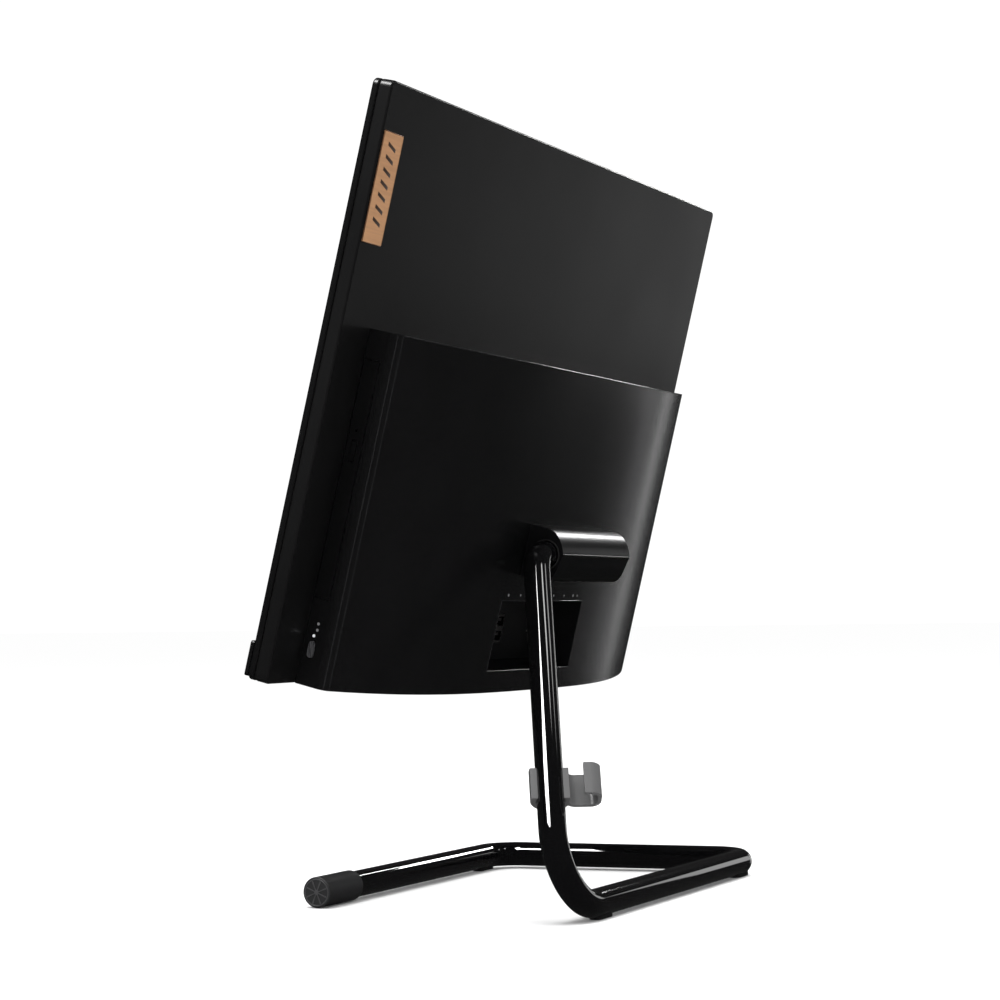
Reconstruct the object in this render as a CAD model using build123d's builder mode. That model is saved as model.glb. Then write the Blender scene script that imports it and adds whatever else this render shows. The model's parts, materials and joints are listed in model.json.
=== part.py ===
"""An all-in-one desktop computer whose display hangs on a stand of one bent tube, in millimetres.

+Z is up, the screen faces -Y, and +X is on the right of someone who looks at the screen.
The origin is on the floor, in the middle of the whole object.
"""

import os
from math import cos, radians, sin, tan

from build123d import *

os.makedirs("parts", exist_ok=True)

# ---------------------------------------------------------------- driving dimensions
GAP = 0.3  # room between pieces that move past each other
FIT = 0.05  # radial room of a shaft in its bore

# the display, set by a 21.5 inch screen
PANEL_W = 490.3
PANEL_H = 321.7
PANEL_T = 12.0
PANEL_TILT = 14.2  # lean to the back, degrees
PANEL_LOW_Z = 131.9  # height of the bottom edge of the back
SCREEN_W = 476.6
SCREEN_H = 268.6
TOP_BORDER = 11.0
CORNER_R = 4.0
EDGE_R = 1.2

# the stand
DEPTH = 191.7  # from the front of the sleeve to the back of the cable clip
BAR_SPACING = 172.85  # between the front and the back bar of the foot
TUBE_R = 7.75
TUBE_WALL = 1.5
SLEEVE_R = 8.9
SLEEVE_LENGTH = 41.0
SLEEVE_END = 2.5
FREE_END_X = 117.4
FRONT_CORNER_X = -130.5
BACK_CORNER_X = -141.6
HEEL_X = 168.9
ELBOW_X = 62.7
TUBE_TOP_END_X = 18.0
FLOOR_BEND = 21.0
HEEL_BEND = 30.0
ELBOW_BEND = 20.0

# the tilt hinge, placed on the back of the display
HINGE_U = 86.0
HINGE_N = 56.0
HINGE_X = (-56.0, 49.0)
AXLE_R = 5.0

# the lower rear cover: a crowned shell on the lower part of the back
COVER_HALF_W = 214.0
COVER_U = (0.0, 193.7)
COVER_CROWN = 43.3  # depth at the middle
COVER_FALL = 25.8  # how much less it is at the sides
COVER_SIDE = 12.8  # height of the flat side walls
COVER_EDGE = 4.0
COVER_WALL = 2.2
CROWN_STEPS = 8
CORNER_PULL = 0.35  # how near the rounded edge comes to its corner

# the recess for the ports
BAY_X = (-54.0, 66.0)
BAY_U = (13.0, 55.3)
BAY_FLOOR = 18.0
PLATE_T = 1.5
BAY_WALL = 1.8
PORT_U = 32.3  # middle of the row of ports

# the optical drive, a standard slim one
DRIVE_U = (47.7, 177.4)
DRIVE_N = (0.8, 10.3)
DRIVE_DEPTH = 127.0

# ---------------------------------------------------------------- the panel's own frame
# x runs to the right, n is the depth behind the panel's back and u climbs the panel
FRONT_BAR_Y = SLEEVE_R - DEPTH / 2
BACK_BAR_Y = FRONT_BAR_Y + BAR_SPACING
PANEL_BEHIND_FRONT_BAR = 41.2
PANEL_Y = FRONT_BAR_Y + PANEL_BEHIND_FRONT_BAR
LEAN = radians(PANEL_TILT)
PANEL = Plane(origin=(0, PANEL_Y, PANEL_LOW_Z), x_dir=(1, 0, 0), z_dir=(0, sin(LEAN), cos(LEAN)))


def plan(u):
    """A plane across the panel at height u: its sketches are in x and n."""
    return PANEL.offset(u)


def face(n):
    """A plane along the panel at depth n, facing the front: its sketches are in x and u."""
    return Plane(PANEL.from_local_coords(Vector(0, n, 0)), x_dir=PANEL.x_dir, z_dir=-PANEL.y_dir)


def side(x):
    """An upright plane that faces +X: its sketches are in n and u."""
    return Plane(PANEL.from_local_coords(Vector(x, 0, 0)), x_dir=PANEL.y_dir, z_dir=PANEL.x_dir)


def middle(span):
    return (span[0] + span[1]) / 2


def size(span):
    return span[1] - span[0]


def about(centre, length):
    """The span of a length that is centred on a place."""
    return (centre - length / 2, centre + length / 2)


def grown(span, amount):
    return (span[0] - amount, span[1] + amount)


def box(x, u, n, mode=Mode.ADD):
    """A box between low and high places in x, u and n."""
    with BuildSketch(face(n[1])) as outline:
        with Locations((middle(x), middle(u))):
            Rectangle(size(x), size(u))
    extrude(outline.sketch, amount=size(n), mode=mode)


def rounded_box(x, u, n, radius, mode=Mode.ADD):
    """A box whose four edges along n are rounded."""
    with BuildSketch(face(n[1])) as outline:
        with Locations((middle(x), middle(u))):
            RectangleRounded(size(x), size(u), radius)
    extrude(outline.sketch, amount=size(n), mode=mode)


def stud(x, u, n, radius, mode=Mode.ADD):
    """A round bar along n."""
    with BuildSketch(face(n[1])) as outline:
        with Locations((x, u)):
            Circle(radius)
    extrude(outline.sketch, amount=size(n), mode=mode)


def rod(x, u, n, radius, mode=Mode.ADD):
    """A round bar along x."""
    with BuildSketch(side(x[0])) as outline:
        with Locations((n, u)):
            Circle(radius)
    extrude(outline.sketch, amount=size(x), mode=mode)


def pill(x, u, n, mode=Mode.ADD):
    """A bar along x whose section is a pill that is longest along u."""
    with BuildSketch(side(x[0])) as outline:
        with Locations((middle(n), middle(u))):
            SlotOverall(size(u), size(n), rotation=90)
    extrude(outline.sketch, amount=size(x), mode=mode)


# ---------------------------------------------------------------- the stand's tube
TUBE_Z = SLEEVE_R
HINGE = PANEL.from_local_coords(Vector(0, HINGE_N, HINGE_U))
TUBE_START = Vector(FREE_END_X - SLEEVE_END, FRONT_BAR_Y, TUBE_Z)
FRONT_CORNER = Vector(FRONT_CORNER_X, FRONT_BAR_Y, TUBE_Z)
BACK_CORNER = Vector(BACK_CORNER_X, BACK_BAR_Y, TUBE_Z)
HEEL = Vector(HEEL_X, BACK_BAR_Y, TUBE_Z)
ELBOW = Vector(ELBOW_X, HINGE.Y, HINGE.Z)
TUBE_END = Vector(TUBE_TOP_END_X, HINGE.Y, HINGE.Z)
UPRIGHT = (ELBOW - HEEL).normalized()


def bend(before, corner, after, radius):
    """The start, middle and end of the arc that rounds a corner of the tube."""
    towards = (before - corner).normalized()
    away = (after - corner).normalized()
    half = radians(towards.get_angle(away)) / 2
    reach = radius / tan(half)
    inwards = (towards + away).normalized()
    centre = corner + inwards * (radius / sin(half))
    return corner + towards * reach, centre - inwards * radius, corner + away * reach


def tube_solid(radius):
    """Sweep a disc along the whole tube."""
    corners = [TUBE_START, FRONT_CORNER, BACK_CORNER, HEEL, ELBOW, TUBE_END]
    radii = [FLOOR_BEND, FLOOR_BEND, HEEL_BEND, ELBOW_BEND]
    with BuildLine() as path:
        here = TUBE_START
        for i, bend_radius in enumerate(radii):
            start, through, end = bend(corners[i], corners[i + 1], corners[i + 2], bend_radius)
            Line(here, start)
            ThreePointArc(start, through, end)
            here = end
        Line(here, TUBE_END)
    with BuildSketch(Plane(origin=TUBE_START, z_dir=(-1, 0, 0))) as disc:
        Circle(radius)
    sweep(disc.sketch, path=path.line)


with BuildPart() as tube_core:
    tube_solid(TUBE_R)

with BuildPart() as tube_bore:
    tube_solid(TUBE_R - TUBE_WALL)

with BuildPart() as stand_tube:
    add(tube_core)
    add(tube_bore, mode=Mode.SUBTRACT)

SLEEVE_X = (FREE_END_X - SLEEVE_LENGTH, FREE_END_X)
SLEEVE_EDGE = 0.8
with BuildPart() as tube_sleeve:
    with BuildSketch(Plane(origin=(SLEEVE_X[0], FRONT_BAR_Y, TUBE_Z), z_dir=(1, 0, 0))):
        Circle(SLEEVE_R)
    extrude(amount=size(SLEEVE_X))
    fillet(tube_sleeve.edges().filter_by(GeomType.CIRCLE), SLEEVE_EDGE)
    with BuildSketch(Plane(origin=(SLEEVE_X[0], FRONT_BAR_Y, TUBE_Z), z_dir=(1, 0, 0))):
        Circle(TUBE_R)
    extrude(amount=SLEEVE_LENGTH - SLEEVE_END, mode=Mode.SUBTRACT)

PAD_LENGTH = 20.0
PAD_WIDTH = 7.0
PAD_TOP = 4.0
PAD_PLACES = [
    (FRONT_CORNER_X + FLOOR_BEND, FRONT_BAR_Y),
    (BACK_CORNER_X + FLOOR_BEND, BACK_BAR_Y),
    (HEEL_X - HEEL_BEND * 2, BACK_BAR_Y),
]
with BuildPart() as foot_pads:
    with BuildSketch(Plane.XY):
        with Locations(PAD_PLACES):
            RectangleRounded(PAD_LENGTH, PAD_WIDTH, PAD_WIDTH / 3)
    extrude(amount=PAD_TOP)
    add(tube_core, mode=Mode.SUBTRACT)

# ---------------------------------------------------------------- the cable clip on the upright
CLIP_UP = 76.0  # from the heel's corner, along the upright
CLIP_HEIGHT = 19.0
CLIP_R = 11.3
CLIP_BORE_R = TUBE_R + FIT
CLIP_MOUTH = 3.5
HOOK_P = (8.0, 27.76)  # the hook's reach away from the tube
HOOK_Q = (-9.5, 7.5)
HOOK_R = 6.0
HOOK_BAND = 2.4
MOUTH_END_P = 18.0  # the tube and the cable share one way in, up to here
LEVEL = UPRIGHT.cross(Vector(0, 0, 1)).normalized()
CLIP = Plane(origin=HEEL + UPRIGHT * (CLIP_UP - CLIP_HEIGHT / 2), x_dir=LEVEL, z_dir=UPRIGHT)
HOOK_HOLE = (size(HOOK_P) - 2 * HOOK_BAND, size(HOOK_Q) - 2 * HOOK_BAND)
with BuildPart() as cable_clip:
    with BuildSketch(CLIP):
        Circle(CLIP_R)
        with Locations((middle(HOOK_P), middle(HOOK_Q))):
            RectangleRounded(size(HOOK_P), size(HOOK_Q), HOOK_R)
        with Locations((middle(HOOK_P), middle(HOOK_Q))):
            RectangleRounded(*HOOK_HOLE, HOOK_R - HOOK_BAND, mode=Mode.SUBTRACT)
        Circle(CLIP_BORE_R, mode=Mode.SUBTRACT)
        with Locations(((MOUTH_END_P - CLIP_R) / 2, -CLIP_MOUTH - CLIP_R / 2)):
            Rectangle(MOUTH_END_P + CLIP_R, CLIP_R, mode=Mode.SUBTRACT)
    extrude(amount=CLIP_HEIGHT)

# ---------------------------------------------------------------- the tilt hinge
AXLE_PLUG = 22.0  # how far the axle is pressed into the tube
AXLE_END_X = -44.0
EAR_T = 3.0
EAR_R = 7.6
EAR_LOWS = (-33.0, 9.0)
NUT_X = (-42.0, -33.0 - GAP)
NUT_R = 7.0
WASHER_R = 7.2
WASHER_T = 1.2
FRAME_FOOT_N = -3.4  # the back of the chassis
BRACKET_U = (75.5, 96.5)
BRACKET_X = (-46.0, 30.0)
BRACKET_T = 2.0
BRACKET_N = (COVER_CROWN, COVER_CROWN + BRACKET_T)
SCREW_R = 1.6
SCREW_HEAD_R = 3.0
HINGE_SCREWS = [(x, u) for x in (-23.0, -11.0, 3.0, 24.0) for u in (79.0, 93.0)]

with BuildPart() as hinge_axle:
    rod((TUBE_TOP_END_X, TUBE_TOP_END_X + AXLE_PLUG), HINGE_U, HINGE_N, TUBE_R - TUBE_WALL)
    rod((AXLE_END_X, TUBE_TOP_END_X), HINGE_U, HINGE_N, AXLE_R)

with BuildPart() as axle_washers:
    for low in EAR_LOWS:
        rod((low + EAR_T + GAP, low + EAR_T + GAP + WASHER_T), HINGE_U, HINGE_N, WASHER_R)
        rod((low + EAR_T + GAP, low + EAR_T + GAP + WASHER_T), HINGE_U, HINGE_N, AXLE_R, Mode.SUBTRACT)

with BuildPart() as axle_nut:
    with BuildSketch(side(NUT_X[0])):
        with Locations((HINGE_N, HINGE_U)):
            RegularPolygon(NUT_R, 6)
            Circle(AXLE_R, mode=Mode.SUBTRACT)
    extrude(amount=size(NUT_X))

with BuildPart() as hinge_bracket:
    box(BRACKET_X, BRACKET_U, BRACKET_N)
    for low in EAR_LOWS:
        box((low, low + EAR_T), about(HINGE_U, 2 * EAR_R), (BRACKET_N[1], HINGE_N))
        rod((low, low + EAR_T), HINGE_U, HINGE_N, EAR_R)
    rod(BRACKET_X, HINGE_U, HINGE_N, AXLE_R + FIT, Mode.SUBTRACT)
    for x, u in HINGE_SCREWS:
        stud(x, u, grown(BRACKET_N, 1), SCREW_R, Mode.SUBTRACT)

HEAD_T = 1.4
SCREW_LENGTH = 9.0
with BuildPart() as hinge_screws:
    for x, u in HINGE_SCREWS:
        stud(x, u, (BRACKET_N[1] - SCREW_LENGTH, BRACKET_N[1]), SCREW_R)
        stud(x, u, (BRACKET_N[1], BRACKET_N[1] + HEAD_T), SCREW_HEAD_R)

FRAME_X = (-115.0, 85.0)  # a steel beam inside the cover, on legs that reach the chassis
FRAME_U = (78.0, 94.0)
FRAME_N = (33.0, 35.5)
FRAME_LEG = 2.5
BOSS_R = 3.8
with BuildPart() as hinge_frame:
    box(FRAME_X, FRAME_U, FRAME_N)
    for leg in ((FRAME_X[0], FRAME_X[0] + FRAME_LEG), (FRAME_X[1] - FRAME_LEG, FRAME_X[1])):
        box(leg, FRAME_U, (FRAME_FOOT_N, FRAME_N[0]))
    for x, u in HINGE_SCREWS:
        stud(x, u, (FRAME_N[0], COVER_CROWN - COVER_WALL - GAP), BOSS_R)
        stud(x, u, (FRAME_N[0] - 1, COVER_CROWN), SCREW_R, Mode.SUBTRACT)

# the hinge block's section, in n and u: a flat top, a rounded brow, a crisp ridge and a rounded chin
HINGE_COVER_U = (70.8, 101.5)
HINGE_COVER_FOOT = COVER_CROWN - 2.0
BROW = ((53.0, 101.5), (62.5, 97.0))
RIDGE = (67.0, 88.5)
CHIN = ((63.5, 75.0), (57.0, 70.8))
RIDGE_PULL = (0.3, -1.0)  # the direction in which the brow meets the ridge
HINGE_COVER_WALL = 1.8
SOCKET_R = TUBE_R + 0.6


def crown(x):
    """How deep the lower rear cover is at a place across it."""
    return COVER_CROWN - COVER_FALL * (abs(x) / COVER_HALF_W) ** 3


def cover_outline(inset):
    """Draw the lower rear cover's outline in x and n, or a smaller one inside it."""
    half = COVER_HALF_W - inset
    edge_x = half - COVER_EDGE
    across = [edge_x * (1 - 2 * i / CROWN_STEPS) for i in range(CROWN_STEPS + 1)]
    with BuildLine() as outline:
        low = Polyline((-half, COVER_SIDE), (-half, 0), (half, 0), (half, COVER_SIDE))
        back = Spline(*[(x, crown(x) - inset) for x in across])
        for i in (0, 1):
            start, end = low @ (1 - i), back @ i
            corner = Vector(start.X, end.Y)
            ThreePointArc(start, corner * CORNER_PULL + (start + end) * (1 - CORNER_PULL) / 2, end)
    make_face(outline.line)


with BuildPart() as cover_solid:
    with BuildSketch(plan(COVER_U[0])):
        cover_outline(0)
    extrude(amount=size(COVER_U))

def hinge_block_section():
    """Draw the section of the block that covers the hinge."""
    with BuildLine() as outline:
        Polyline((HINGE_COVER_FOOT, HINGE_COVER_U[1]), BROW[0])
        Spline(*BROW, RIDGE, tangents=[(1, 0), RIDGE_PULL])
        Spline(RIDGE, *CHIN, tangents=[(-RIDGE_PULL[0], RIDGE_PULL[1]), (-1, 0)])
        Polyline(CHIN[1], (HINGE_COVER_FOOT, HINGE_COVER_U[0]), (HINGE_COVER_FOOT, HINGE_COVER_U[1]))
    make_face(outline.line)


def walled_in(corner):
    """Bring a corner of the block's section nearer to the axle by the thickness of the wall."""
    reach = Vector(*corner) - Vector(HINGE_N, HINGE_U)
    inner = Vector(HINGE_N, HINGE_U) + reach * (1 - HINGE_COVER_WALL / reach.length)
    return (inner.X, inner.Y)


with BuildPart() as hinge_cover:
    with BuildSketch(side(HINGE_X[0])):
        hinge_block_section()
    extrude(amount=size(HINGE_X))
    hollow_x = grown(HINGE_X, -HINGE_COVER_WALL)
    hollow_u = grown(HINGE_COVER_U, -HINGE_COVER_WALL)
    hollow_n = HINGE_COVER_FOOT - 1
    with BuildSketch(side(hollow_x[0])):
        with BuildLine():
            curved = [walled_in(corner) for corner in (*BROW, RIDGE, *CHIN)]
            Polyline((hollow_n, hollow_u[1]), *curved, (hollow_n, hollow_u[0]), close=True)
        make_face()
    extrude(amount=size(hollow_x), mode=Mode.SUBTRACT)
    rod((0, HINGE_X[1] + 1), HINGE_U, HINGE_N, SOCKET_R, Mode.SUBTRACT)
    add(cover_solid, mode=Mode.SUBTRACT)

# ---------------------------------------------------------------- the display's shells
HALF_W = PANEL_W / 2
PANEL_X = (-HALF_W, HALF_W)
PANEL_U = (0.0, PANEL_H)
BEZEL_N = (-PANEL_T, -8.0)
BEZEL_LIP = 1.2
BACK_WALL = 1.8
SIDE_WALL = 2.2
SCREEN_U = (PANEL_H - TOP_BORDER - SCREEN_H, PANEL_H - TOP_BORDER)
SCREEN_X = about(0, SCREEN_W)
SCREEN_MARGIN = 2.2  # how far the glass reaches behind the bezel's lip
GLASS_T = 1.0
LCD_T = 5.0
GLASS_N = (BEZEL_N[0] + BEZEL_LIP, BEZEL_N[0] + BEZEL_LIP + GLASS_T)
LCD_N = (GLASS_N[1], GLASS_N[1] + LCD_T)
CHASSIS_N = (FRAME_FOOT_N - 1.2, FRAME_FOOT_N)
SERVICE_X = (-204.0, 204.0)  # the hole in the back that the lower cover closes
SERVICE_U = (10.0, 184.0)
CAMERA_U = PANEL_H - 4.6
CAMERA_R = 1.6
MIC_X = 14.0
MIC_R = 0.6

with BuildPart() as rear_panel:
    rounded_box(PANEL_X, PANEL_U, (BEZEL_N[1], 0), CORNER_R)
    back_face = rear_panel.faces().sort_by(Axis.Y)[-1]
    fillet(back_face.edges(), EDGE_R)
    inner = (grown(PANEL_X, -SIDE_WALL), grown(PANEL_U, -SIDE_WALL))
    rounded_box(*inner, (BEZEL_N[1], -BACK_WALL), CORNER_R - SIDE_WALL, Mode.SUBTRACT)
    box(SERVICE_X, SERVICE_U, (-BACK_WALL - 1, 1), Mode.SUBTRACT)

with BuildPart() as front_bezel:
    rounded_box(PANEL_X, PANEL_U, BEZEL_N, CORNER_R)
    front_face = front_bezel.faces().sort_by(Axis.Y)[0]
    fillet(front_face.edges(), EDGE_R)
    box(SCREEN_X, SCREEN_U, grown(BEZEL_N, 1), Mode.SUBTRACT)
    pocket = (grown(SCREEN_X, SCREEN_MARGIN), grown(SCREEN_U, SCREEN_MARGIN))
    box(*pocket, (GLASS_N[0], BEZEL_N[1] + 1), Mode.SUBTRACT)
    stud(0, CAMERA_U, grown(BEZEL_N, 1), CAMERA_R, Mode.SUBTRACT)
    for x in (-MIC_X, MIC_X):
        stud(x, CAMERA_U, grown(BEZEL_N, 1), MIC_R, Mode.SUBTRACT)

with BuildPart() as screen_glass:
    box(grown(SCREEN_X, SCREEN_MARGIN - 0.2), grown(SCREEN_U, SCREEN_MARGIN - 0.2), GLASS_N)

with BuildPart() as lcd_module:
    box(grown(SCREEN_X, SCREEN_MARGIN - 0.4), grown(SCREEN_U, SCREEN_MARGIN - 0.4), LCD_N)

CHASSIS_MARGIN = 4.0
CHASSIS_WINDOWS = [(x, 250.0) for x in (-150.0, -50.0, 50.0, 150.0)]
CHASSIS_WINDOW = (76.0, 56.0)
with BuildPart() as mid_chassis:
    box(grown(PANEL_X, -CHASSIS_MARGIN), grown(PANEL_U, -CHASSIS_MARGIN), CHASSIS_N)
    with BuildSketch(face(CHASSIS_N[1])):
        with Locations(CHASSIS_WINDOWS):
            RectangleRounded(*CHASSIS_WINDOW, CORNER_R)
    extrude(amount=size(CHASSIS_N), mode=Mode.SUBTRACT)

# the camera sits in the top border, between the bezel and the top edge of the screen
CAMERA_BOARD = (about(0, 44.0), about(CAMERA_U, 4.4))
CAMERA_BOARD_N = (BEZEL_N[1], BEZEL_N[1] + 3.0)
with BuildPart() as camera_module:
    box(*CAMERA_BOARD, CAMERA_BOARD_N)
    stud(0, CAMERA_U, (BEZEL_N[0] + 0.8, CAMERA_BOARD_N[0]), CAMERA_R - FIT)

# the front of a bar for the speakers, along the foot of the display
BAR_U = (1.7, 20.5)
BAR_N = (-14.0, -12.0)
BAR_SLOTS = 30
BAR_SLOT = (5.0, 1.2)
BAR_SLOT_STEP = 6.4
BAR_SLOT_ROWS = (5.0, 8.0, 11.0, 14.0)
SPEAKER_MIDDLES = (-140.0, 140.0)
with BuildPart() as speaker_bar:
    rounded_box(PANEL_X, BAR_U, BAR_N, EDGE_R)
    with BuildSketch(face(BAR_N[1])):
        for centre in SPEAKER_MIDDLES:
            for u in BAR_SLOT_ROWS:
                with Locations((centre, u + BAR_U[0])):
                    with GridLocations(BAR_SLOT_STEP, 1, BAR_SLOTS // 2, 1):
                        Rectangle(*BAR_SLOT)
    extrude(amount=size(BAR_N), mode=Mode.SUBTRACT)

SPEAKER = (62.0, 16.0)
SPEAKER_N = (BEZEL_N[1], CHASSIS_N[0] - 0.2)
with BuildPart() as speakers:
    for centre in SPEAKER_MIDDLES:
        rounded_box(about(centre, SPEAKER[0]), about(12.5, SPEAKER[1]), SPEAKER_N, 2)

BADGE_X = (222.0, 243.0)
BADGE_U = (237.0, 295.5)
BADGE_T = 0.6
with BuildPart() as badge_plate:
    rounded_box(BADGE_X, BADGE_U, (0, BADGE_T), 0.6)

# ---------------------------------------------------------------- the lower rear cover
BAY_BLOCK_X = grown(BAY_X, BAY_WALL)
BAY_BLOCK_U = grown(BAY_U, BAY_WALL)
PLATE_N = (BAY_FLOOR - PLATE_T, BAY_FLOOR)
DEEP = COVER_CROWN + 20  # further back than the shell reaches
VENT = (3.0, 16.0)
VENT_STEP = 6.0
VENT_N = 20.0
TOP_VENTS = (60.0, 26)
LOW_VENTS = (-70.0, 20)
BUTTON_X = (COVER_HALF_W - 1.8, COVER_HALF_W + 0.5)
BUTTON_U = (15.0, 24.5)
BUTTON_N = (3.2, 7.5)
BUTTON_PLAY = 0.25
LED_U = 27.2
LED_N = 5.3
LED_R = 0.9
JACK_U = 30.0
JACK_N = 8.0
JACK_R = 1.8
SIDE_USB_UNITS = (46.0, 66.0)
USB_PORT = (13.2, 5.8)
SIDE_PORT_N = 8.0
CARD_U = (82.0, 108.0)
CARD_N = (6.9, 9.1)
OUTSIDE = COVER_HALF_W + 5
INSIDE = COVER_HALF_W - 5
JACK_COLLAR = 0.8
PORT_PLAY = 0.2
SIDE_PLAY = 0.5

with BuildPart() as lower_rear_cover:
    add(cover_solid)
    hollow_bands = [(COVER_U[0] + COVER_WALL, BAY_BLOCK_U[0]), (BAY_BLOCK_U[1], COVER_U[1] - COVER_WALL)]
    for band in hollow_bands:
        with BuildSketch(plan(band[0])):
            cover_outline(COVER_WALL)
        extrude(amount=size(band), mode=Mode.SUBTRACT)
    with BuildSketch(plan(BAY_BLOCK_U[0])):
        cover_outline(COVER_WALL)
        with Locations((middle(BAY_BLOCK_X), PLATE_N[0] + DEEP / 2)):
            Rectangle(size(BAY_BLOCK_X), DEEP, mode=Mode.SUBTRACT)
    extrude(amount=size(BAY_BLOCK_U), mode=Mode.SUBTRACT)
    box(BAY_X, BAY_U, (PLATE_N[0], DEEP), Mode.SUBTRACT)
    for centre, count, u in ((*TOP_VENTS, COVER_U[1]), (*LOW_VENTS, COVER_U[0] + COVER_WALL)):
        with BuildSketch(plan(u - COVER_WALL - 1)):
            with Locations((centre, VENT_N)):
                with GridLocations(VENT_STEP, 1, count, 1):
                    SlotOverall(VENT[1], VENT[0], rotation=90)
        extrude(amount=2 * COVER_WALL + 2, mode=Mode.SUBTRACT)
    box((INSIDE, OUTSIDE), DRIVE_U, DRIVE_N, Mode.SUBTRACT)
    pill((INSIDE, OUTSIDE), BUTTON_U, BUTTON_N, Mode.SUBTRACT)
    rod((INSIDE, OUTSIDE), LED_U, LED_N, LED_R, Mode.SUBTRACT)
    rod((-OUTSIDE, -INSIDE), JACK_U, JACK_N, JACK_R + JACK_COLLAR + PORT_PLAY, Mode.SUBTRACT)
    for u in SIDE_USB_UNITS:
        hole = (grown(about(u, USB_PORT[0]), SIDE_PLAY), grown(about(SIDE_PORT_N, USB_PORT[1]), SIDE_PLAY))
        box((-OUTSIDE, -INSIDE), *hole, Mode.SUBTRACT)
    box((-OUTSIDE, -INSIDE), grown(CARD_U, SIDE_PLAY), grown(CARD_N, SIDE_PLAY), Mode.SUBTRACT)
    for x, u in HINGE_SCREWS:
        stud(x, u, (COVER_CROWN - SCREW_LENGTH, DEEP), SCREW_R, Mode.SUBTRACT)

# ---------------------------------------------------------------- the ports at the back
PORT_BACK_N = 6.2  # the top of the main board
PORT_FACE_N = BAY_FLOOR + 0.6
DC_X = 56.0
ETHERNET_X = 25.5
USB_STACK_X = (42.0, 9.5)
HDMI_X = -43.0
PORTS = {
    "ethernet": (ETHERNET_X, 16.0, 13.6),
    "usb_far": (USB_STACK_X[0], 14.4, 17.6),
    "usb_near": (USB_STACK_X[1], 14.4, 17.6),
    "hdmi": (HDMI_X, 15.2, 6.4),
    "dc": (DC_X, 11.0, 13.0),
}


def port_block(name):
    """The outside of a port, from the main board to just behind the port plate."""
    x, width, height = PORTS[name]
    box(about(x, width), about(PORT_U, height), (PORT_BACK_N, PORT_FACE_N))


with BuildPart() as port_plate:
    box(BAY_X, BAY_U, PLATE_N)
    for x, width, height in PORTS.values():
        box(about(x, width + PORT_PLAY), about(PORT_U, height + PORT_PLAY), grown(PLATE_N, 1), Mode.SUBTRACT)

DC_DEPTH = 9.0
DC_R = 2.9
with BuildPart() as dc_jack:
    port_block("dc")
    stud(DC_X, PORT_U, (PORT_FACE_N - DC_DEPTH, PORT_FACE_N + 1), DC_R, Mode.SUBTRACT)

RJ45_MOUTH = (11.8, 8.2)
RJ45_KEY_W = 6.0
RJ45_DEPTH = 10.5
RJ45_UP = 0.8
RJ45_KEY_U = (PORT_U - 6.0, PORT_U)
with BuildPart() as ethernet_port:
    port_block("ethernet")
    mouth_n = (PORT_FACE_N - RJ45_DEPTH, PORT_FACE_N + 1)
    box(about(ETHERNET_X, RJ45_MOUTH[0]), about(PORT_U + RJ45_UP, RJ45_MOUTH[1]), mouth_n, Mode.SUBTRACT)
    box(about(ETHERNET_X, RJ45_KEY_W), RJ45_KEY_U, mouth_n, Mode.SUBTRACT)

USB_TONGUE = (10.6, 1.8)
USB_DEPTH = 10.0
USB_OFFSETS = (-4.5, 4.5)
with BuildPart() as rear_usb_ports:
    for name in ("usb_far", "usb_near"):
        port_block(name)
        for offset_u in USB_OFFSETS:
            u = PORT_U + offset_u
            mouth = (about(PORTS[name][0], USB_PORT[0]), about(u, USB_PORT[1]))
            box(*mouth, (PORT_FACE_N - USB_DEPTH, PORT_FACE_N + 1), Mode.SUBTRACT)
            tongue = (about(PORTS[name][0], USB_TONGUE[0]), (u, u + USB_TONGUE[1]))
            box(*tongue, (PORT_FACE_N - USB_DEPTH, PORT_FACE_N - 1))

HDMI_MOUTH = (14.0, 5.0)
HDMI_TONGUE = (10.4, 1.4)
HDMI_DEPTH = 9.0
with BuildPart() as hdmi_port:
    port_block("hdmi")
    mouth_floor = PORT_FACE_N - HDMI_DEPTH
    box(about(HDMI_X, HDMI_MOUTH[0]), about(PORT_U, HDMI_MOUTH[1]), (mouth_floor, DEEP), Mode.SUBTRACT)
    box(about(HDMI_X, HDMI_TONGUE[0]), about(PORT_U, HDMI_TONGUE[1]), (mouth_floor, PORT_FACE_N - 1.5))

# ---------------------------------------------------------------- the side ports, on the -X side
SIDE_BOARD_X = (-208.0, -191.0)
SIDE_BOARD_U = (22.0, 112.0)
SIDE_BOARD_N = (3.2, 4.8)
SIDE_FACE_X = -COVER_HALF_W + 0.6
SIDE_PORT_DEPTH = 12.0
with BuildPart() as side_board:
    box(SIDE_BOARD_X, SIDE_BOARD_U, SIDE_BOARD_N)

JACK_DEPTH = 14.0
JACK_COLLAR_T = 1.8
JACK_BODY_X = (SIDE_FACE_X + JACK_COLLAR_T, SIDE_FACE_X + JACK_DEPTH + 2.0)
JACK_BODY_W = 6.4
JACK_BODY_N = (SIDE_BOARD_N[1], 2 * JACK_N - SIDE_BOARD_N[1])
with BuildPart() as audio_jack:
    box(JACK_BODY_X, about(JACK_U, JACK_BODY_W), JACK_BODY_N)
    rod((SIDE_FACE_X, JACK_BODY_X[0]), JACK_U, JACK_N, JACK_R + JACK_COLLAR)
    rod((SIDE_FACE_X - 1, SIDE_FACE_X + JACK_DEPTH), JACK_U, JACK_N, JACK_R, Mode.SUBTRACT)

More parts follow.
